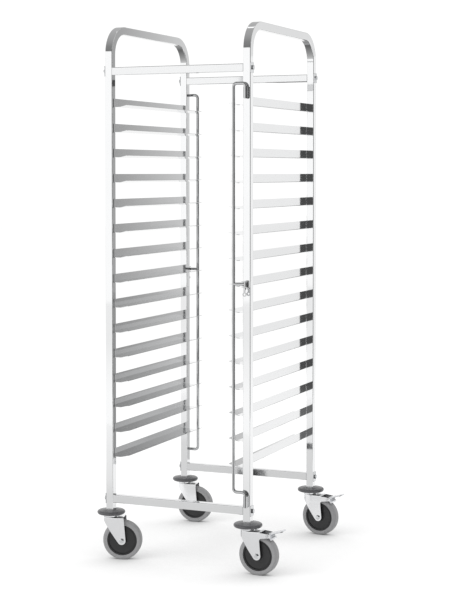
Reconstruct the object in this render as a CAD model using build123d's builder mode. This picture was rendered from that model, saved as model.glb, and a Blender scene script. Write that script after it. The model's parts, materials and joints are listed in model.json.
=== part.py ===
from build123d import *

import os
from math import cos, radians, sin

# Tray trolley: two bent side frames, four bolted crossbars, fifteen pairs of tray rails, two stop rods
# and four swivel casters, two of them braked.
# All sizes are in millimetres. Z is up and the floor is z = 0. Trays slide in along Y, from the front
# at -Y. The casters trail to +X, each turned a little. The origin lies under the middle of the whole
# footprint.

# Frame
frame_width = 500.0
frame_depth = 600.0
overall_height = 1712.0
tube = 25.0
tube_wall = 1.2
tube_corner = 2.0
handle_bend = 82.5
weld_gap = 0.1

# Crossbars and their fixings
top_bar_drop = 135.0
bottom_bar_top = 208.5
insert_length = 30.0
bolt_radius = 4.0
bolt_reach = 46.0
bolt_head_across = 13.0
bolt_head_height = 5.5
washer_thickness = 2.0
washer_height = 33.0
slip_clearance = 0.1

# Tray rails
rail_count = 15
first_rail_drop = 234.0
last_rail_top = 358.0
rail_web = 28.0
rail_ledge = 52.0
rail_flat = 24.0
rail_rise = 6.5
rail_sheet = 1.5
rail_bend = 3.0
rail_fold = 12.0
rail_set_back = 10.0
rail_corner = 4.0

# Wheel
wheel_radius = 62.5
hub_radius = 48.5
tyre_width = 32.0
tyre_shoulder = 7.0
hub_rim_width = 28.0
hub_face_width = 24.0
hub_groove_radius = 41.5
hub_groove_width = 2.5
hub_groove_depth = 1.5
hub_boss_radius = 15.0
hub_boss_taper = 2.0
bush_radius = 9.0
axle_radius = 6.0
axle_head_radius = 8.0
axle_head_height = 3.5
axle_head_edge = 1.0
running_clearance = 0.05
side_play = 0.3

# Fork. The angles are in degrees about each swivel axis, from +X
caster_angles = {"left_front": 16.0, "right_front": 0.0, "left_rear": 7.0, "right_rear": -5.0}
trail = 37.5
fork_width = 48.0
fork_sheet = 2.5
fork_crown = 3.0
fork_top = 138.0
fork_shoulder = 4.0
nose_reach = 25.5
nose_start = 18.0
fork_eye = 13.0
leading_edge_top = 128.0
trailing_edge_top = 44.0

# Swivel head
kingpin_radius = 6.0
kingpin_head_radius = 10.0
kingpin_head_height = 3.0
race_radius = 23.0
race_height = 5.0
race_wall = 1.5
ball_ring_radius = 16.0
ball_radius = 1.3
stud_radius = 5.0
stud_reach = 40.0
swivel_gap = 0.3
lower_race_height = 1.0

# Bumper and post plug
bumper_radius = 45.0
bumper_rim = 12.0
bumper_boss_radius = 28.0
bumper_boss_height = 2.0
bumper_dome_radius = 21.0
bumper_dome_height = 3.0
bumper_floor = 5.0
plug_length = 36.0

# Brake, on the two right casters. Its pivot and tip are measured from the swivel axis and the floor
pivot_reach = 72.0
pivot_height = 126.5
brake_pin_radius = 3.0
brake_pin_head_radius = 4.5
brake_pin_head_height = 1.5
barrel_radius = 5.0
bridge_reach = 60.0
wing_overhang = 10.0
wing_low = 122.0
wing_high = 131.0
wing_root = 116.0
wing_fillet = 8.0
pedal_width = 38.0
pedal_sheet = 3.0
pedal_tip_reach = 121.0
pedal_tip_height = 145.0
pedal_tip_round = 8.0
pedal_travel = 20.0
pad_radius = 4.0
pad_angle = 50.0
pad_gap = 0.4
pad_arm = 4.0

# Stop rods, hinged on the right front post and the left rear post
rod_radius = 5.0
rod_arm = 40.0
rod_bend = 11.0
middle_arm_radius = 4.7
rod_stand_off = 8.0
rod_top_drop = 196.0
rod_bottom = 255.0
sleeve_radius = 7.5
sleeve_length = 34.0
sleeve_foot = 8.0
rod_pin_overrun = 2.0

# Hinge bracket and catch half way up each stop rod
bracket_rise = 14.0
bracket_width = 24.0
bracket_height = 19.0
bracket_sheet = 2.0
bracket_depth = 15.5
bracket_round = 5.0
knuckle_radius = 5.5
knuckle_play = 0.3
hinge_pin_radius = 3.0
hinge_pin_head_radius = 4.0
hinge_pin_head_height = 1.5
tab_drop = 9.0
catch_sheet = 2.0
catch_eye = 4.5
catch_reach = 17.0
catch_ring_outer = 6.5
catch_ring_inner = 3.2
catch_shank = 5.0
catch_play = 0.3
rivet_radius = 2.0
rivet_head_radius = 3.5
rivet_head_height = 1.2

# Places worked out from the sizes
post_x = frame_width / 2 - tube / 2
post_y = frame_depth / 2 - tube / 2
turns = {corner: radians(angle) for corner, angle in caster_angles.items()}
braked = ("right_front", "right_rear")
tip_middle = pedal_tip_reach - pedal_tip_round
tip_side = pedal_width / 2 - pedal_tip_round
tip_reach = max(tip_middle * cos(turns[corner]) + tip_side * abs(sin(turns[corner])) for corner in braked)
left_reach = max(bumper_radius, wheel_radius - trail)
right_reach = max(tip_reach + pedal_tip_round, trail + wheel_radius, bumper_radius)
centre_x = round((left_reach - right_reach) / 2, 1)
tube_bore = tube - 2 * tube_wall
bore_corner = max(tube_corner - tube_wall, 0.3)
bar_length = frame_width - 2 * tube
bar_heights = (overall_height - top_bar_drop - tube / 2, bottom_bar_top - tube / 2)
first_rail_top = overall_height - first_rail_drop
rail_pitch = (first_rail_top - last_rail_top) / (rail_count - 1)
rail_length = frame_depth - 2 * rail_set_back
head_low = fork_top + swivel_gap
head_top = head_low + race_height
bumper_low = head_top
rim_low = bumper_low + bumper_boss_height
rim_high = rim_low + bumper_rim
post_bottom = bumper_low + bumper_floor
fork_inner = fork_width / 2 - fork_sheet
wing_reach = pivot_reach + wing_overhang
rod_top = overall_height - rod_top_drop
hinge_y = frame_depth / 2 + rod_stand_off
upper_sleeve_low = rod_top - rod_bend - sleeve_length
lower_sleeve_low = rod_bottom - rod_bend - sleeve_length
bracket_middle = (rod_top + rod_bottom) / 2 + bracket_rise

posts = {
    "left_front": (centre_x - post_x, -post_y),
    "right_front": (centre_x + post_x, -post_y),
    "left_rear": (centre_x - post_x, post_y),
    "right_rear": (centre_x + post_x, post_y),
}
bracket_low = bracket_middle - bracket_height / 2
bracket_front = frame_depth / 2 + bracket_depth
catch_z = bracket_low - tab_drop / 2
bolt_places = [(y, z) for y in (-post_y, post_y) for z in bar_heights]


def upright_plane(x, y):
    """Plane through a post's axis, with local x along +X and local y up."""
    return Plane(origin=(x, y, 0), x_dir=(1, 0, 0), z_dir=(0, -1, 0))


def trail_plane(corner):
    """Upright plane through a caster's swivel axis, with local x along its trail and local y up."""
    turn = turns[corner]
    return Plane(origin=posts[corner], x_dir=(cos(turn), sin(turn), 0), z_dir=(sin(turn), -cos(turn), 0))


def fork_plane(corner, z):
    """Level plane at this height, with the origin on a caster's swivel axis and local x along its trail."""
    upright = trail_plane(corner)
    return Plane(origin=upright.from_local_coords((0, z, 0)), x_dir=upright.x_dir, z_dir=(0, 0, 1))


def axle_plane(corner):
    """Upright plane along a caster's axle, with the origin in the wheel's middle and local y up."""
    upright = trail_plane(corner)
    middle = upright.from_local_coords((trail, wheel_radius, 0))
    return Plane(origin=middle, x_dir=-upright.z_dir, z_dir=upright.x_dir)


def outer_plane(side, x):
    """Plane square to X at the distance x from the middle, facing outwards, with local y up."""
    return Plane(origin=(centre_x + side * x, 0, 0), x_dir=(0, side, 0), z_dir=(side, 0, 0))


def end_plane(turn, depth):
    """Upright plane at this distance from the middle towards the front (turn 1) or rear (turn -1)."""
    return Plane(origin=(centre_x, -turn * depth, 0), x_dir=(turn, 0, 0), z_dir=(0, -turn, 0))


def level_plane(turn, z):
    """Level plane at this height, with local x and y turned half round for the rear end."""
    return Plane(origin=(centre_x, 0, z), x_dir=(turn, 0, 0), z_dir=(0, 0, 1))


def side_plane(turn, x):
    """Upright plane square to X, with local x outwards from the front or rear end and local y up."""
    return Plane(origin=(centre_x + turn * x, 0, 0), x_dir=(0, -turn, 0), z_dir=(-turn, 0, 0))


def save(piece, name):
    """Label a finished piece and write it as one STEP file."""
    piece.part.label = name
    export_step(piece.part, f"parts/{name}.step")


# Frame: bent side frames, crossbars and their fixings


def side_frame(side):
    """One length of square tube bent into an inverted U: two posts and the push handle."""
    low = (-post_y, post_bottom)
    high = (-post_y, overall_height - tube / 2)
    with BuildPart() as frame:
        with BuildLine(Plane.YZ.offset(centre_x + side * post_x)) as path:
            FilletPolyline(low, high, (post_y, high[1]), (post_y, low[1]), radius=handle_bend)
        with BuildSketch(Plane(origin=path.line @ 0, x_dir=(1, 0, 0), z_dir=(0, 0, 1))):
            RectangleRounded(tube, tube, tube_corner)
            RectangleRounded(tube_bore, tube_bore, bore_corner, mode=Mode.SUBTRACT)
        sweep()
        with BuildSketch(outer_plane(side, frame_width / 2 - tube - weld_gap)):
            with Locations(*bolt_places):
                Circle(bolt_radius + slip_clearance)
        extrude(amount=tube + 2 * weld_gap, mode=Mode.SUBTRACT)
    return frame


def crossbar(y, z):
    """Square tube that butts against the two posts at this depth and height."""
    with BuildPart() as bar:
        with BuildSketch(Plane.YZ.offset(centre_x - bar_length / 2)):
            with Locations((y, z)):
                RectangleRounded(tube, tube, tube_corner)
                RectangleRounded(tube_bore, tube_bore, bore_corner, mode=Mode.SUBTRACT)
        extrude(amount=bar_length)
    return bar


def crossbar_fixings():
    """Threaded inserts in the bar ends, with the bolts and the plates under their heads."""
    insert_side = tube_bore - 2 * slip_clearance
    with BuildPart() as inserts:
        for side in (-1, 1):
            with BuildSketch(outer_plane(side, bar_length / 2)):
                with Locations(*bolt_places):
                    RectangleRounded(insert_side, insert_side, bore_corner)
                    Circle(bolt_radius + running_clearance, mode=Mode.SUBTRACT)
            extrude(amount=-insert_length)
    with BuildPart() as washers:
        for side in (-1, 1):
            with BuildSketch(outer_plane(side, frame_width / 2)):
                with Locations(*bolt_places):
                    RectangleRounded(tube, washer_height, tube_corner)
                    Circle(bolt_radius + slip_clearance, mode=Mode.SUBTRACT)
            extrude(amount=washer_thickness)
    seat = frame_width / 2 + washer_thickness
    with BuildPart() as bolts:
        for side in (-1, 1):
            with BuildSketch(outer_plane(side, seat)):
                with Locations(*bolt_places):
                    RegularPolygon(bolt_head_across / 2, 6, major_radius=False)
            extrude(amount=bolt_head_height)
            with BuildSketch(outer_plane(side, seat)):
                with Locations(*bolt_places):
                    Circle(bolt_radius)
            extrude(amount=-bolt_reach)
    return inserts, washers, bolts


def tray_rails(level):
    """The two rails of one level: a web on the posts and a ledge inwards that rises towards its edge."""
    web_x = centre_x + frame_width / 2 - tube
    fold_x = web_x - rail_flat
    ledge_x = web_x - rail_ledge
    top = first_rail_top - level * rail_pitch
    low = top - rail_web
    with BuildPart() as rails:
        with BuildSketch(Plane.XZ.offset(rail_length / 2)):
            with BuildLine():
                Polyline(
                    (web_x, top),
                    (web_x, low),
                    (fold_x, low),
                    (ledge_x, low + rail_rise),
                    (ledge_x, low + rail_rise + rail_sheet),
                    (fold_x, low + rail_sheet),
                    (web_x - rail_sheet, low + rail_sheet),
                    (web_x - rail_sheet, top),
                    close=True,
                )
            corners = make_face().vertices().group_by(Axis.X)
            fillet(corners[-1].sort_by(Axis.Y)[0], radius=rail_bend)
            fillet(corners[-2].sort_by(Axis.Y)[0], radius=rail_bend - rail_sheet)
            fillet(corners[1].sort_by(Axis.Y)[0], radius=rail_fold)
            fillet(corners[1].sort_by(Axis.Y)[-1], radius=rail_fold - rail_sheet)
        extrude(amount=-rail_length)
        tips = rails.edges().filter_by(Axis.Z).group_by(Axis.X)[0]
        fillet(tips, radius=rail_corner)
        mirror(about=Plane.YZ.offset(centre_x))
    return rails


# Caster mountings: post plugs, bumpers and swivel heads


def post_plugs():
    """Square plugs in the post ends that hold the caster studs."""
    side = tube_bore - 2 * slip_clearance
    with BuildPart() as plugs:
        with BuildSketch(Plane.XY.offset(post_bottom)):
            with Locations(*posts.values()):
                RectangleRounded(side, side, bore_corner)
                Circle(stud_radius + running_clearance, mode=Mode.SUBTRACT)
        extrude(amount=plug_length)
    return plugs


def bumpers():
    """Round wall bumpers between the posts and the casters, each with a pocket for the post end."""
    half_rim = bumper_rim / 2
    dome_top = rim_high + bumper_dome_height
    with BuildPart() as discs:
        for x, y in posts.values():
            with BuildSketch(upright_plane(x, y)):
                with BuildLine():
                    Line((0, bumper_low), (bumper_boss_radius, bumper_low))
                    Line((bumper_boss_radius, bumper_low), (bumper_boss_radius, rim_low))
                    Line((bumper_boss_radius, rim_low), (bumper_radius - half_rim, rim_low))
                    ThreePointArc(
                        (bumper_radius - half_rim, rim_low),
                        (bumper_radius, rim_low + half_rim),
                        (bumper_radius - half_rim, rim_high),
                    )
                    Line((bumper_radius - half_rim, rim_high), (bumper_dome_radius, dome_top))
                    Line((bumper_dome_radius, dome_top), (0, dome_top))
                    Line((0, dome_top), (0, bumper_low))
                make_face()
            revolve(axis=Axis((x, y, 0), (0, 0, 1)))
        pocket = tube + 2 * slip_clearance
        with BuildSketch(Plane.XY.offset(post_bottom)):
            with Locations(*posts.values()):
                RectangleRounded(pocket, pocket, tube_corner)
        extrude(amount=dome_top - post_bottom + weld_gap, mode=Mode.SUBTRACT)
        with Locations(*[(x, y, post_bottom) for x, y in posts.values()]):
            Hole(radius=stud_radius + slip_clearance)
    return discs


def swivel_heads():
    """Fixed half of each swivel: upper race, riveted kingpin and the stud that goes up the post."""
    skirt = race_radius - race_wall
    roof = head_top - race_wall
    rivet_top = fork_top - fork_crown - swivel_gap
    with BuildPart() as heads:
        for x, y in posts.values():
            with BuildSketch(upright_plane(x, y)):
                with BuildLine():
                    Polyline(
                        (0, rivet_top - kingpin_head_height),
                        (kingpin_head_radius, rivet_top - kingpin_head_height),
                        (kingpin_head_radius, rivet_top),
                        (kingpin_radius, rivet_top),
                        (kingpin_radius, roof),
                        (skirt, roof),
                        (skirt, head_low),
                        (race_radius, head_low),
                        (race_radius, head_top),
                        (stud_radius, head_top),
                        (stud_radius, head_top + stud_reach),
                        (0, head_top + stud_reach),
                        close=True,
                    )
                make_face()
            revolve(axis=Axis((x, y, 0), (0, 0, 1)))
    return heads


def swivel_bearings():
    """Ring of balls in each swivel head, made as one bead between the races."""
    middle = head_top - race_wall - ball_radius
    with BuildPart() as rings:
        for x, y in posts.values():
            with BuildSketch(upright_plane(x, y)):
                with Locations((ball_ring_radius, middle)):
                    Circle(ball_radius)
            revolve(axis=Axis((x, y, 0), (0, 0, 1)))
    return rings


# Casters


def fork(corner):
    """Pressed fork: curved nose, two cheeks that taper to the axle, and wings where it has a brake."""
    upright = trail_plane(corner)
    trail_axis = Axis(upright.origin, upright.x_dir)
    has_brake = corner in braked
    tail = wing_reach if has_brake else trail + fork_eye
    low = wheel_radius - fork_eye
    with BuildPart() as body:
        with BuildSketch(fork_plane(corner, low)):
            with Locations((nose_start, 0)):
                Ellipse(nose_reach + nose_start, fork_width / 2)
                Rectangle(tail - nose_start, fork_width, align=(Align.MIN, Align.CENTER))
            with Locations((tail, 0)):
                Rectangle(tail, 2 * fork_width, align=(Align.MIN, Align.CENTER), mode=Mode.SUBTRACT)
        extrude(amount=fork_top - low)
        fillet(body.faces().sort_by(Axis.Z)[-1].edges().sort_by(trail_axis)[:-1], radius=fork_shoulder)
        with BuildSketch(fork_plane(corner, low)):
            with Locations((nose_start, 0)):
                Ellipse(nose_reach + nose_start - fork_sheet, fork_inner)
                Rectangle(tail - nose_start, 2 * fork_inner, align=(Align.MIN, Align.CENTER))
        extrude(amount=fork_top - fork_crown - low, mode=Mode.SUBTRACT)
        with BuildSketch(upright) as profile:
            with BuildLine():
                Line((-nose_reach, leading_edge_top), (-nose_reach, fork_top))
                Line((-nose_reach, fork_top), (trailing_edge_top, fork_top))
                CenterArc((trail, wheel_radius), fork_eye, 0, 360)
            make_hull()
            if has_brake:
                with BuildLine():
                    Polyline(
                        (0, fork_top),
                        (race_radius, fork_top),
                        (wing_reach, wing_high),
                        (wing_reach, wing_low),
                        (trailing_edge_top - fork_sheet, wing_root),
                        (0, wing_root),
                        close=True,
                    )
                make_face()
                inside_corner = profile.vertices().sort_by_distance((trailing_edge_top, wing_root))[0]
                fillet(inside_corner, radius=wing_fillet)
        extrude(amount=fork_width, both=True, mode=Mode.INTERSECT)
        if has_brake:
            with BuildSketch(fork_plane(corner, wing_low)):
                with Locations((bridge_reach, 0)):
                    Rectangle(wing_reach, 2 * fork_inner, align=(Align.MIN, Align.CENTER))
            extrude(amount=fork_top - wing_low, mode=Mode.SUBTRACT)
        with BuildSketch(fork_plane(corner, fork_top)):
            Circle(race_radius - race_wall - swivel_gap)
            Circle(kingpin_radius + running_clearance, mode=Mode.SUBTRACT)
        extrude(amount=lower_race_height)
        with BuildSketch(fork_plane(corner, fork_top - fork_crown)):
            Circle(kingpin_radius + running_clearance)
        extrude(amount=2 * race_height, mode=Mode.SUBTRACT)
        with BuildSketch(upright):
            with Locations((trail, wheel_radius)):
                Circle(axle_radius + slip_clearance)
            if has_brake:
                with Locations((pivot_reach, pivot_height)):
                    Circle(brake_pin_radius + slip_clearance)
        extrude(amount=fork_width, both=True, mode=Mode.SUBTRACT)
    return body


def axle_bolt(corner):
    """Axle through both cheeks, with a domed head in front and a domed nut behind."""
    section = axle_plane(corner)
    side = fork_width / 2
    with BuildPart() as bolt:
        with BuildSketch(section):
            with BuildLine():
                Polyline(
                    (0, 0),
                    (side + axle_head_height, 0),
                    (side + axle_head_height, axle_head_radius / 2),
                    (side + axle_head_edge, axle_head_radius),
                    (side, axle_head_radius),
                    (side, axle_radius),
                    (0, axle_radius),
                    close=True,
                )
            make_face()
            mirror(about=Plane.YZ)
        revolve(axis=Axis(section.origin, section.x_dir))
    return bolt


def wheel(corner):
    """Plain bush, ringed plastic hub and soft grey tyre of one wheel."""
    section = axle_plane(corner)
    axle = Axis(section.origin, section.x_dir)
    half_length = fork_inner - side_play
    groove_out = hub_groove_radius + hub_groove_width
    with BuildPart() as bush:
        with BuildSketch(section):
            with Locations((0, (axle_radius + running_clearance + bush_radius) / 2)):
                Rectangle(2 * half_length, bush_radius - axle_radius - running_clearance)
        revolve(axis=axle)
    with BuildPart() as hub:
        with BuildSketch(section):
            with BuildLine():
                Polyline(
                    (0, bush_radius),
                    (half_length, bush_radius),
                    (half_length, hub_boss_radius - hub_boss_taper),
                    (hub_face_width / 2, hub_boss_radius),
                    (hub_face_width / 2, hub_groove_radius),
                    (hub_face_width / 2 - hub_groove_depth, hub_groove_radius),
                    (hub_face_width / 2 - hub_groove_depth, groove_out),
                    (hub_rim_width / 2, groove_out),
                    (hub_rim_width / 2, hub_radius),
                    (0, hub_radius),
                    close=True,
                )
            make_face()
            mirror(about=Plane.YZ)
        revolve(axis=axle)
    with BuildPart() as tyre:
        with BuildSketch(section):
            with Locations((0, (hub_radius + wheel_radius) / 2)):
                Rectangle(tyre_width, wheel_radius - hub_radius)
        revolve(axis=axle)
        rims = tyre.edges().filter_by(GeomType.CIRCLE).group_by(SortBy.RADIUS)[-1]
        fillet(rims, radius=tyre_shoulder)
    return bush, hub, tyre


def brake(corner):
    """Foot pedal that turns on a pin between the fork's wings and presses a bar on the tyre."""
    upright = trail_plane(corner)
    angle = radians(pedal_travel)
    pad_reach = wheel_radius + pad_gap + pad_radius
    pressed_x = trail + pad_reach * cos(radians(pad_angle)) - pivot_reach
    pressed_z = wheel_radius + pad_reach * sin(radians(pad_angle)) - pivot_height
    pad_x = pivot_reach + pressed_x * cos(angle) - pressed_z * sin(angle)
    pad_z = pivot_height + pressed_x * sin(angle) + pressed_z * cos(angle)
    deck = pivot_height + barrel_radius - pedal_sheet / 2
    with BuildPart() as pin:
        with BuildSketch(upright):
            with Locations((pivot_reach, pivot_height)):
                Circle(brake_pin_radius)
        extrude(amount=fork_width / 2, both=True)
        for side in (-1, 1):
            with BuildSketch(upright.offset(side * fork_width / 2)):
                with Locations((pivot_reach, pivot_height)):
                    Circle(brake_pin_head_radius)
            extrude(amount=side * brake_pin_head_height)
    with BuildPart() as pedal:
        with BuildSketch(upright):
            with BuildLine():
                Line((pivot_reach, deck), (pedal_tip_reach, pedal_tip_height - pedal_sheet / 2))
            trace(line_width=pedal_sheet)
            with BuildLine():
                Line((pivot_reach, pivot_height), (pad_x, pad_z))
            trace(line_width=pad_arm)
            with Locations((pad_x, pad_z)):
                Circle(pad_radius)
            with Locations((pivot_reach, pivot_height)):
                Circle(barrel_radius)
                Circle(brake_pin_radius + running_clearance, mode=Mode.SUBTRACT)
        extrude(amount=pedal_width / 2, both=True)
        end = pedal.faces().sort_by(Axis(upright.origin, upright.x_dir))[-1]
        across = Axis(upright.origin, upright.z_dir)
        fillet(end.edges().filter_by(across, reverse=True), radius=pedal_tip_round)
    return pin, pedal


# Stop rods with their hinges and catches. The front one is on the right post, the rear one on the left


def stop_rod(turn):
    """Bent rod that closes one end of the trolley, with a middle arm that ends in a hinge knuckle."""
    inner = post_x - rod_arm
    knuckle_low = bracket_low + bracket_sheet + knuckle_play
    knuckle_height = bracket_height - 2 * (bracket_sheet + knuckle_play)
    with BuildPart() as rod:
        with BuildLine(end_plane(turn, hinge_y)) as path:
            FilletPolyline(
                (post_x, upper_sleeve_low - rod_pin_overrun),
                (post_x, rod_top),
                (inner, rod_top),
                (inner, rod_bottom),
                (post_x, rod_bottom),
                (post_x, lower_sleeve_low - rod_pin_overrun),
                radius=rod_bend,
            )
        with BuildSketch(Plane(origin=path.line @ 0, x_dir=(1, 0, 0), z_dir=(0, 0, 1))):
            Circle(rod_radius)
        sweep()
        with BuildSketch(side_plane(turn, inner)):
            with Locations((hinge_y, bracket_middle)):
                Circle(middle_arm_radius)
        extrude(amount=-rod_arm)
        with BuildSketch(level_plane(turn, knuckle_low)):
            with Locations((post_x, -hinge_y)):
                Circle(knuckle_radius)
        extrude(amount=knuckle_height)
        with BuildSketch(level_plane(turn, knuckle_low)):
            with Locations((post_x, -hinge_y)):
                Circle(hinge_pin_radius + running_clearance)
        extrude(amount=knuckle_height, mode=Mode.SUBTRACT)
    return rod


def rod_sleeves():
    """Sleeves welded to the posts, which the ends of the stop rods turn in."""
    with BuildPart() as sleeves:
        for turn in (1, -1):
            for low in (upper_sleeve_low, lower_sleeve_low):
                with BuildSketch(level_plane(turn, low)):
                    with Locations((post_x, -hinge_y)):
                        Circle(sleeve_radius)
                        Rectangle(sleeve_foot, rod_stand_off, align=(Align.CENTER, Align.MIN))
                        Circle(rod_radius + running_clearance, mode=Mode.SUBTRACT)
                extrude(amount=sleeve_length)
    return sleeves


def hinge_brackets():
    """Folded brackets on the posts that hold the rods' middle arms, each with a tab for its catch."""
    back = frame_depth / 2
    opening = bracket_height - 2 * bracket_sheet
    with BuildPart() as brackets:
        for turn in (1, -1):
            with BuildSketch(side_plane(turn, post_x)):
                with Locations((back, bracket_middle)):
                    Rectangle(bracket_depth, bracket_height, align=(Align.MIN, Align.CENTER))
                with Locations((back + bracket_sheet, bracket_middle)):
                    Rectangle(bracket_depth, opening, align=(Align.MIN, Align.CENTER), mode=Mode.SUBTRACT)
            extrude(amount=bracket_width / 2, both=True)
        upright = brackets.edges().filter_by(Axis.Z).group_by(Axis.Y)
        fillet(upright[0] + upright[-1], radius=bracket_round)
        for turn in (1, -1):
            with BuildSketch(end_plane(turn, bracket_front - bracket_sheet)):
                with Locations((post_x, catch_z)):
                    Circle(tab_drop / 2)
                    Rectangle(tab_drop, tab_drop / 2 + bracket_sheet, align=(Align.CENTER, Align.MIN))
                    Circle(rivet_radius, mode=Mode.SUBTRACT)
            extrude(amount=bracket_sheet)
            with BuildSketch(level_plane(turn, bracket_low)):
                with Locations((post_x, -hinge_y)):
                    Circle(hinge_pin_radius)
            extrude(amount=bracket_height, mode=Mode.SUBTRACT)
    return brackets


def hinge_pins():
    """Headed pins through the brackets and the rods' knuckles."""
    with BuildPart() as pins:
        for turn in (1, -1):
            for z, radius, height in (
                (bracket_low - hinge_pin_head_height, hinge_pin_head_radius, hinge_pin_head_height),
                (bracket_low, hinge_pin_radius, bracket_height),
                (bracket_low + bracket_height, hinge_pin_head_radius, hinge_pin_head_height),
            ):
                with BuildSketch(level_plane(turn, z)):
                    with Locations((post_x, -hinge_y)):
                        Circle(radius)
                extrude(amount=height)
    return pins


def catch_rivets():
    """Rivets through the tabs, which the catches hang and turn on."""
    reach = bracket_sheet + catch_sheet + 2 * catch_play
    with BuildPart() as rivets:
        for turn in (1, -1):
            for depth, radius, length in (
                (bracket_front - bracket_sheet - rivet_head_height, rivet_head_radius, rivet_head_height),
                (bracket_front - bracket_sheet, rivet_radius, reach),
                (bracket_front - bracket_sheet + reach, rivet_head_radius, rivet_head_height),
            ):
                with BuildSketch(end_plane(turn, depth)):
                    with Locations((post_x, catch_z)):
                        Circle(radius)
                extrude(amount=length)
    return rivets


def rod_catch(turn):
    """Flat catch with a finger ring. Turned up, it stands in front of the rod's middle arm."""
    with BuildPart() as catch:
        with BuildSketch(end_plane(turn, bracket_front + catch_play)):
            with Locations((post_x, catch_z)):
                Circle(catch_eye)
                Rectangle(catch_shank, catch_reach, align=(Align.CENTER, Align.MAX))
            with Locations((post_x, catch_z - catch_reach)):
                Circle(catch_ring_outer)
                Circle(catch_ring_inner, mode=Mode.SUBTRACT)
            with Locations((post_x, catch_z)):
                Circle(rivet_radius + running_clearance, mode=Mode.SUBTRACT)
        extrude(amount=catch_sheet)
    return catch


os.makedirs("parts", exist_ok=True)

save(side_frame(-1), "side_frame_left")
save(side_frame(1), "side_frame_right")
for row, height in zip(("upper", "lower"), bar_heights):
    save(crossbar(-post_y, height), f"crossbar_{row}_front")
    save(crossbar(post_y, height), f"crossbar_{row}_rear")
inserts, washers, bolts = crossbar_fixings()
save(inserts, "crossbar_inserts")
save(washers, "bolt_washers")
save(bolts, "crossbar_bolts")
for level in range(rail_count):
    save(tray_rails(level), f"tray_rails_{level + 1:02d}")

save(post_plugs(), "post_plugs")
save(bumpers(), "bumpers")
save(swivel_heads(), "swivel_heads")
save(swivel_bearings(), "swivel_bearings")
for corner in posts:
    bush, hub, tyre = wheel(corner)
    save(fork(corner), f"fork_{corner}")
    save(axle_bolt(corner), f"axle_{corner}")
    save(bush, f"bush_{corner}")
    save(hub, f"hub_{corner}")
    save(tyre, f"tyre_{corner}")
    if corner in braked:
        pin, pedal = brake(corner)
        save(pin, f"brake_pin_{corner}")
        save(pedal, f"brake_pedal_{corner}")

save(rod_sleeves(), "rod_sleeves")
save(hinge_brackets(), "hinge_brackets")
save(hinge_pins(), "hinge_pins")
save(catch_rivets(), "catch_rivets")
for end, turn in (("front", 1), ("rear", -1)):
    save(stop_rod(turn), f"stop_rod_{end}")
    save(rod_catch(turn), f"rod_catch_{end}")
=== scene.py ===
import json
import math

import bmesh
import bpy
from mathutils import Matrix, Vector


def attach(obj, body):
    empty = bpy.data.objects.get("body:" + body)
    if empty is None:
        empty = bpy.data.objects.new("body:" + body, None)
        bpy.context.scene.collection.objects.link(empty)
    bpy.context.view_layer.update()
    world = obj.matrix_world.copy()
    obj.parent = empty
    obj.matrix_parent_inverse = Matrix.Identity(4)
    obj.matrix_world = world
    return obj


# Looks of the tray trolley. Lengths are in metres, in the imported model's frame: Z is up, the floor is
# z = 0, the front is at -Y and the casters trail to +X.

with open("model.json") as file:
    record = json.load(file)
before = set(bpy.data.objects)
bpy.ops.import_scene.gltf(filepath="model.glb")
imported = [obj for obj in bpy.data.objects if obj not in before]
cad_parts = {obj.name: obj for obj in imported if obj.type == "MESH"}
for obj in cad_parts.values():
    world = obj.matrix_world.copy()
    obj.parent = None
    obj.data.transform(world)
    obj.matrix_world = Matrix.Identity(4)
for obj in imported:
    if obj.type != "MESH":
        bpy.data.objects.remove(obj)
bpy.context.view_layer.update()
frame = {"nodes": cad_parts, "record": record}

# Photograph and camera
PHOTO_HEIGHT = 595
FOCAL_PIXELS = 1515.4
PRINCIPAL_RISE_PIXELS = 72.0
CAMERA_PLACE = Vector((1.9549, -4.607, 1.2429))
CAMERA_YAW = 0.399
CAMERA_PITCH = 0.035
SENSOR = 36.0

# Places shared by the pieces
FRAME_MIDDLE_X = -0.0383
RAIL_X = 0.225
POST_INNER_Y = 0.275
RAIL_TOP = 1.478
RAIL_PITCH = 0.08
RAIL_WEB = 0.028
RAIL_COUNT = 15

# Floor and room, where 1 is white
FLOOR_RADIUS = 30.0
SHADOW_REACH = 0.5
FLOOR_GLOW = 1.24
FLOOR_GLOW_SHARE = 0.6
ROOM_LIGHT = 0.75
ROOM_SEEN = 1.05
LAMP_AIM = (0.0, 0.0, 0.8)

# Levels of what the metal reflects, where 1 is white. Those of level cards are given by place along Y
CARD_STRENGTH = 1.3
CEILING_LEVELS = ((-12.0, 0.19), (-4.0, 0.27), (-1.3, 0.42), (1.3, 0.5), (6.0, 0.55), (12.0, 0.6))
STRIP_LEVELS = ((0.25, 1.3), (0.65, 1.3))
BEND_LEVELS = (
    (-0.03, 0.75), (0.09, 0.55), (0.15, 0.42), (0.2, 0.3), (0.26, 0.16), (0.32, 0.3), (0.5, 0.42),
)
FLOOR_FLAG_LEVELS = ((-3.15, 0.2), (-0.95, 0.2))
FLOOR_SHADE_LEVELS = ((-2.6, 1.08), (-1.8, 1.0), (-1.4, 0.95), (-1.15, 0.83), (-0.5, 0.8), (-0.2, 0.85))


# Node helpers


class Value:
    """One number that varies over a surface. Sums and products of these add Math nodes."""

    def __init__(self, finish, socket):
        self.finish = finish
        self.socket = socket

    def combined(self, operation, first, second):
        return self.finish.node("ShaderNodeMath", {"operation": operation}, {0: first, 1: second})

    def __add__(self, other):
        return self.combined("ADD", self, other)

    def __radd__(self, other):
        return self.combined("ADD", other, self)

    def __mul__(self, other):
        return self.combined("MULTIPLY", self, other)

    def __rmul__(self, other):
        return self.combined("MULTIPLY", other, self)


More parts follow.
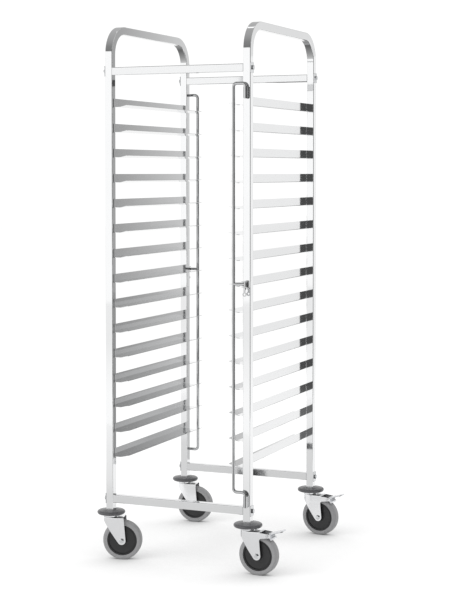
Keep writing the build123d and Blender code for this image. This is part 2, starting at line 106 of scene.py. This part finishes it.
class Finish:
    """A material or the world, with one method that adds any node."""

    def __init__(self, owner):
        owner.use_nodes = True
        self.tree = owner.node_tree
        self.tree.nodes.clear()

    def node(self, kind, settings=None, inputs=None, output=0):
        """Adds a node with these settings and inputs, and gives one of its outputs."""
        made = self.tree.nodes.new(kind)
        for key, setting in (settings or {}).items():
            if key == "stops":
                self.set_stops(made.color_ramp, setting)
            else:
                setattr(made, key, setting)
        for key, given in (inputs or {}).items():
            if isinstance(given, Value):
                self.tree.links.new(given.socket, made.inputs[key])
            else:
                made.inputs[key].default_value = given
        return Value(self, made.outputs[output]) if made.outputs else None

    @staticmethod
    def set_stops(ramp, stops):
        """Gives a colour ramp these places and colours."""
        while len(ramp.elements) < len(stops):
            ramp.elements.new(1.0)
        for element, (place, colour) in zip(ramp.elements, stops):
            element.position = place
            element.color = (*colour, 1.0)

    def noise(self, scale, detail=3.0, roughness=0.5, stretch=(1.0, 1.0, 1.0)):
        """A cloudy pattern from 0 to 1 that stays with the piece."""
        place = self.node("ShaderNodeTexCoord", output=3)
        stretched = self.node("ShaderNodeMapping", inputs={"Vector": place, "Scale": stretch})
        return self.node("ShaderNodeTexNoise", inputs={
            "Vector": stretched, "Scale": scale, "Detail": detail, "Roughness": roughness})

    def mixed(self, amount, low, high):
        """A colour between two others."""
        return self.node("ShaderNodeMix", {"data_type": "RGBA"}, {
            "Factor": amount, 6: (*low, 1.0), 7: (*high, 1.0)}, output=2)

    def bump(self, height):
        """Normals of a relief whose height is in metres."""
        return self.node("ShaderNodeBump", inputs={"Height": height, "Distance": 1.0, "Strength": 1.0})

    def surface(self, **sockets):
        """Ends a material with these values of its surface."""
        shader = self.node("ShaderNodeBsdfPrincipled", inputs={
            key.replace("_", " "): given for key, given in sockets.items()})
        self.node("ShaderNodeOutputMaterial", inputs={"Surface": shader})


# Metals

POLISHING_LINE_DEPTH = 0.00001
SPANGLE_DEPTH = 0.00001
PRESSED_SHEET_WAVE = 0.00003


def darkened(tint, share):
    """The same tint with each part held to this share."""
    return tuple(part * share for part in tint)


def polished_steel(name, tint, gloss, grain_stretch, wave=0.00012):
    """Bright stainless steel: fine polishing lines, cloudy gloss and faint waves in the reflections."""
    material = bpy.data.materials.new(name)
    finish = Finish(material)
    lines = finish.noise(900.0, detail=4.0, roughness=0.6, stretch=grain_stretch)
    clouds = finish.noise(9.0, detail=4.0)
    waves = finish.noise(14.0, detail=1.0)
    finish.surface(
        Base_Color=finish.mixed(0.55 * lines + 0.45 * clouds, darkened(tint, 0.93), tint),
        Metallic=1.0,
        Roughness=gloss * 0.7 + gloss * 0.9 * clouds * lines,
        Normal=finish.bump(lines * POLISHING_LINE_DEPTH + waves * wave),
    )
    return material


def zinc_plate(name, tint, gloss):
    """Zinc plated pressed steel with a slightly mottled gloss."""
    material = bpy.data.materials.new(name)
    finish = Finish(material)
    spangle = finish.noise(260.0, detail=3.0, roughness=0.7)
    clouds = finish.noise(30.0, detail=3.0)
    finish.surface(
        Base_Color=finish.mixed(spangle * 0.6 + clouds * 0.4, darkened(tint, 0.86), tint),
        Metallic=1.0,
        Roughness=gloss * 0.7 + gloss * 0.8 * spangle,
        Normal=finish.bump(spangle * SPANGLE_DEPTH + clouds * PRESSED_SHEET_WAVE),
    )
    return material


# Rubber and plastic


def moulded(name, colour, worn_colour, roughness, grain_scale, relief):
    """Moulded rubber or plastic with a fine mould texture and a little dust and wear."""
    material = bpy.data.materials.new(name)
    finish = Finish(material)
    grain = finish.noise(grain_scale, detail=2.0)
    wear = finish.noise(22.0, detail=5.0, roughness=0.65)
    scuffs = finish.noise(140.0, detail=3.0, roughness=0.7)
    finish.surface(
        Base_Color=finish.mixed(wear * 0.7 + scuffs * 0.3, colour, worn_colour),
        Roughness=roughness - 0.08 + 0.16 * wear,
        Normal=finish.bump(grain * relief + scuffs * relief),
    )
    return material


ALONG_X = (0.02, 1.0, 1.0)
ALONG_Y = (1.0, 0.02, 1.0)
ALONG_Z = (1.0, 1.0, 0.02)
STEEL = (0.835, 0.84, 0.845)

finishes = {
    "post_steel": polished_steel("post_steel", STEEL, 0.05, ALONG_Z, wave=0.00008),
    # Painted shade: the crossbars' steel is a darker copy of the posts' steel.
    "shaded_crossbar_steel": polished_steel("shaded_crossbar_steel", (0.785, 0.79, 0.795), 0.08, ALONG_X),
    "rail_steel": polished_steel("rail_steel", (0.785, 0.79, 0.795), 0.10, ALONG_Y, wave=0.00015),
    # Painted shade: the rod steel is a much darker copy of the frame's steel.
    "rod_steel": polished_steel("rod_steel", (0.54, 0.545, 0.55), 0.10, ALONG_Z, wave=0.00003),
    "weld_steel": polished_steel("weld_steel", (0.42, 0.42, 0.425), 0.3, ALONG_Z, wave=0.00002),
    "fastener_steel": polished_steel("fastener_steel", (0.68, 0.69, 0.70), 0.2, ALONG_X, wave=0.00002),
    "caster_steel": zinc_plate("caster_steel", (0.88, 0.885, 0.895), 0.10),
    "brake_steel": zinc_plate("brake_steel", (0.74, 0.75, 0.77), 0.22),
    "bearing_steel": zinc_plate("bearing_steel", (0.5, 0.5, 0.52), 0.3),
    "bumper_rubber": moulded(
        "bumper_rubber", (0.075, 0.075, 0.08), (0.11, 0.11, 0.115), 0.28, 900.0, 0.00001),
    "tyre_rubber": moulded("tyre_rubber", (0.28, 0.28, 0.285), (0.34, 0.34, 0.345), 0.6, 700.0, 0.00003),
    "hub_plastic": moulded(
        "hub_plastic", (0.012, 0.012, 0.013), (0.022, 0.022, 0.023), 0.4, 900.0, 0.00002),
    "bush_plastic": moulded("bush_plastic", (0.70, 0.68, 0.62), (0.76, 0.74, 0.68), 0.4, 900.0, 0.00001),
    "plug_plastic": moulded("plug_plastic", (0.03, 0.03, 0.03), (0.04, 0.04, 0.04), 0.5, 900.0, 0.00001),
}

# Nodes whose finish is finer than their material slot, by the start of their name. The crossbars get a
# darker copy of the posts' steel, as painted shade.
own_finish = {
    "side_frame": "post_steel",
    "crossbar_upper": "shaded_crossbar_steel",
    "crossbar_lower": "shaded_crossbar_steel",
}


def dress_nodes():
    """Gives each CAD node the finish of its material slot."""
    slots = {part["node"]: part["material_slot"] for part in frame["record"]["subparts"]}
    for name, node in frame["nodes"].items():
        chosen = slots[name]
        for start, finish in own_finish.items():
            if name.startswith(start):
                chosen = finish
        node.data.materials.clear()
        node.data.materials.append(finishes[chosen])


# Small pieces that only the looks need


BEAD_RADIUS = 0.0013
BEAD_SIDES = 6
BEAD_STEPS = 9
BEAD_RIPPLE = 0.18
BEAD_TOP_GAP = 0.002
BEAD_LOW_GAP = 0.003


def bead(mesh, low, high):
    """Adds one weld seam from low to high: a thin rounded string with ripples along it."""
    run = high - low
    across = run.orthogonal().normalized()
    beside = run.cross(across).normalized()
    rings = []
    for step in range(BEAD_STEPS):
        share = step / (BEAD_STEPS - 1)
        ripple = 1.0 + BEAD_RIPPLE * math.sin(step * 2.4)
        rounded_end = math.sin(math.pi * (0.08 + 0.84 * share)) ** 0.3
        swell = BEAD_RADIUS * ripple * rounded_end
        middle = low + run * share
        ring = []
        for side in range(BEAD_SIDES):
            angle = 2 * math.pi * side / BEAD_SIDES
            outwards = math.cos(angle) * across + math.sin(angle) * beside
            ring.append(mesh.verts.new(middle + swell * outwards))
        rings.append(ring)
    for one, two in zip(rings, rings[1:]):
        for side in range(BEAD_SIDES):
            following = (side + 1) % BEAD_SIDES
            mesh.faces.new((one[side], one[following], two[following], two[side]))
    mesh.faces.new(rings[0][::-1])
    mesh.faces.new(rings[-1])


def finished_piece(name, mesh, finish, body):
    """Turns a bmesh into a shaded piece that rides on a CAD body."""
    bmesh.ops.recalc_face_normals(mesh, faces=mesh.faces)
    data = bpy.data.meshes.new(name)
    mesh.to_mesh(data)
    mesh.free()
    data.shade_smooth()
    piece = bpy.data.objects.new(name, data)
    bpy.context.scene.collection.objects.link(piece)
    data.materials.append(finishes[finish])
    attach(piece, body)
    return piece


def rail_welds():
    """Weld seams where the ends of the rails' webs meet the edges of the posts."""
    mesh = bmesh.new()
    for level in range(RAIL_COUNT):
        top = RAIL_TOP - level * RAIL_PITCH
        for side in (-1, 1):
            for end in (-1, 1):
                x = FRAME_MIDDLE_X + side * RAIL_X
                low = Vector((x, end * POST_INNER_Y, top - RAIL_WEB + BEAD_LOW_GAP))
                high = Vector((x, end * POST_INNER_Y, top - BEAD_TOP_GAP))
                bead(mesh, low, high)
    finished_piece("rail_welds", mesh, "weld_steel", "frame")


# Studio


def light_path(finish):
    """1 for rays of the camera, of reflections and through glass, and 0 for light that is scattered."""
    camera = finish.node("ShaderNodeLightPath", output="Is Camera Ray")
    glossy = finish.node("ShaderNodeLightPath", output="Is Glossy Ray")
    through = finish.node("ShaderNodeLightPath", output="Is Transmission Ray")
    return finish.node("ShaderNodeMath", {"operation": "MAXIMUM"}, {
        0: camera, 1: finish.node("ShaderNodeMath", {"operation": "MAXIMUM"}, {0: glossy, 1: through})})


def emitter(name, stops, axis):
    """Glowing material, clear from behind. Its level runs through these stops along one axis of its card."""
    material = bpy.data.materials.new(name)
    finish = Finish(material)
    place = finish.node("ShaderNodeTexCoord", output=0)
    along = finish.node("ShaderNodeSeparateXYZ", inputs={"Vector": place}, output=axis)
    greys = [(at, (level, level, level)) for at, level in stops]
    graded = finish.node("ShaderNodeValToRGB", {"stops": greys}, {0: along})
    glow = finish.node("ShaderNodeEmission", inputs={"Color": graded, "Strength": CARD_STRENGTH})
    behind = finish.node("ShaderNodeNewGeometry", output="Backfacing")
    clear = finish.node("ShaderNodeBsdfTransparent")
    faced = finish.node("ShaderNodeMixShader", inputs={0: behind, 1: glow, 2: clear})
    finish.node("ShaderNodeOutputMaterial", inputs={"Surface": faced})
    return material


def panel(name, middle, normal, width, height, stops, axis=0):
    """A flat glowing card that shows only in reflections, and from one side."""
    mesh = bmesh.new()
    bmesh.ops.create_grid(mesh, x_segments=1, y_segments=1, size=0.5)
    data = bpy.data.meshes.new(name)
    mesh.to_mesh(data)
    mesh.free()
    data.materials.append(emitter(name, stops, axis))
    piece = bpy.data.objects.new(name, data)
    bpy.context.scene.collection.objects.link(piece)
    piece.location = middle
    piece.rotation_euler = Vector(normal).to_track_quat("Z", "Y").to_euler()
    piece.scale = (width, height, 1.0)
    piece.visible_camera = False
    piece.visible_diffuse = False
    piece.visible_shadow = False
    piece.visible_transmission = False


def card(name, azimuth, distance, low, high, width, levels, aside=0.0):
    """
    An upright card that faces the trolley. The azimuth is in degrees from the front (-Y) towards +X, the
    card stands this far aside to its own right, and its level grades from its right edge to its left.
    """
    turn = math.radians(azimuth)
    outwards = Vector((math.sin(turn), -math.cos(turn), 0.0))
    sideways = Vector((math.cos(turn), math.sin(turn), 0.0))
    middle = outwards * distance + sideways * aside + Vector((0.0, 0.0, (low + high) / 2))
    stops = [(0.0, levels[0] / CARD_STRENGTH), (1.0, levels[1] / CARD_STRENGTH)]
    panel(name, middle, -outwards, width, high - low, stops)


def level_card(name, height, facing, left, right, levels):
    """
    A level card between two places along X that faces up (1) or down (-1). Its levels are given by place
    along Y, from front to rear.
    """
    front = levels[0][0]
    rear = levels[-1][0]
    start = rear if facing > 0 else front
    stops = sorted((abs(y - start) / (rear - front), level / CARD_STRENGTH) for y, level in levels)
    middle = ((left + right) / 2, (front + rear) / 2, height)
    panel(name, middle, (0.0, 0.0, facing), right - left, rear - front, stops, axis=1)


def floor():
    """White floor that keeps the trolley's shadow in its lit share, with painted shade close to the wheels,
    where ambient occlusion dims its glow.
    """
    mesh = bmesh.new()
    bmesh.ops.create_circle(mesh, cap_ends=True, segments=64, radius=FLOOR_RADIUS)
    data = bpy.data.meshes.new("floor")
    mesh.to_mesh(data)
    mesh.free()
    material = bpy.data.materials.new("floor")
    finish = Finish(material)
    seen = light_path(finish)
    lit = finish.node("ShaderNodeBsdfDiffuse", inputs={"Color": (0.9, 0.9, 0.9, 1.0)})
    # Painted contact shade: ambient occlusion darkens the floor's glow near the wheels and the frame.
    painted_contact_shade = finish.node(
        "ShaderNodeAmbientOcclusion", {"samples": 12}, {"Distance": SHADOW_REACH}, output="AO")
    glow = finish.node("ShaderNodeEmission", inputs={
        "Color": (1.0, 1.0, 1.0, 1.0), "Strength": painted_contact_shade * FLOOR_GLOW})
    blended = finish.node("ShaderNodeMixShader", inputs={0: seen * FLOOR_GLOW_SHARE, 1: lit, 2: glow})
    finish.node("ShaderNodeOutputMaterial", inputs={"Surface": blended})
    data.materials.append(material)
    piece = bpy.data.objects.new("floor", data)
    bpy.context.scene.collection.objects.link(piece)


def room():
    """White room: full white where it is seen or reflected, softer where it lights the pieces."""
    world = bpy.data.worlds.new("room")
    bpy.context.scene.world = world
    finish = Finish(world)
    seen = light_path(finish)
    strength = ROOM_LIGHT + seen * (ROOM_SEEN - ROOM_LIGHT)
    background = finish.node("ShaderNodeBackground", inputs={
        "Color": (1.0, 1.0, 1.0, 1.0), "Strength": strength})
    finish.node("ShaderNodeOutputWorld", inputs={"Surface": background})


def lamp(name, place, aim, size, power):
    """Large soft area lamp that is not itself reflected."""
    data = bpy.data.lights.new(name, "AREA")
    data.shape = "SQUARE"
    data.size = size
    data.energy = power
    holder = bpy.data.objects.new(name, data)
    bpy.context.scene.collection.objects.link(holder)
    holder.location = place
    holder.rotation_euler = (Vector(aim) - Vector(place)).to_track_quat("-Z", "Y").to_euler()
    holder.visible_glossy = False
    holder.visible_camera = False


def camera():
    """The photograph's camera."""
    data = bpy.data.cameras.new("camera")
    data.sensor_width = SENSOR
    data.lens = FOCAL_PIXELS * SENSOR / PHOTO_HEIGHT
    data.shift_y = -PRINCIPAL_RISE_PIXELS / PHOTO_HEIGHT
    data.clip_end = 100.0
    holder = bpy.data.objects.new("camera", data)
    bpy.context.scene.collection.objects.link(holder)
    holder.location = CAMERA_PLACE
    holder.rotation_euler = (math.pi / 2 - CAMERA_PITCH, 0.0, CAMERA_YAW)
    bpy.context.scene.camera = holder


dress_nodes()
rail_welds()

floor()
room()
card("camera_flag", azimuth=26.0, distance=3.2, low=0.0, high=3.0, width=1.5, levels=(0.1, 0.1))
card("right_flag", azimuth=60.0, distance=3.2, low=0.0, high=2.8, width=2.6, levels=(0.17, 0.17))
card("far_right_flag", azimuth=106.0, distance=3.2, low=0.0, high=2.8, width=2.6, levels=(0.17, 0.17))
card("front_white", azimuth=-25.0, distance=3.0, low=0.6, high=2.38, width=2.4, levels=(1.18, 1.18))
card("high_rear_grey", azimuth=157.0, distance=3.0, low=1.84, high=2.8, width=3.0, levels=(0.87, 0.87))
card(
    "rear_grey", azimuth=157.0, distance=1.0, low=0.75, high=2.1, width=0.41,
    levels=(0.80, 0.36), aside=0.175,
)
card(
    "low_rear_grey", azimuth=157.0, distance=1.0, low=0.06, high=0.75, width=0.41,
    levels=(0.68, 0.28), aside=0.175,
)
level_card("floor_flag", height=0.003, facing=1, left=0.25, right=1.55, levels=FLOOR_FLAG_LEVELS)
# Painted shadow: floor_shade darkens the floor near the trolley, and only reflections show it.
level_card("floor_shade", height=0.003, facing=1, left=-1.6, right=0.24, levels=FLOOR_SHADE_LEVELS)
level_card("left_bend_flag", height=1.545, facing=1, left=-0.46, right=-0.305, levels=BEND_LEVELS)
level_card("right_bend_flag", height=1.545, facing=1, left=0.03, right=0.185, levels=BEND_LEVELS)
level_card("strip", height=4.48, facing=-1, left=-1.25, right=1.25, levels=STRIP_LEVELS)
level_card("ceiling", height=4.5, facing=-1, left=-6.0, right=6.0, levels=CEILING_LEVELS)
lamp("key_lamp", place=(-2.6, -3.4, 3.6), aim=LAMP_AIM, size=2.5, power=90.0)
lamp("rear_lamp", place=(2.4, 3.2, 3.4), aim=LAMP_AIM, size=2.5, power=50.0)
camera()

settings = bpy.context.scene.view_settings
settings.view_transform = "Standard"
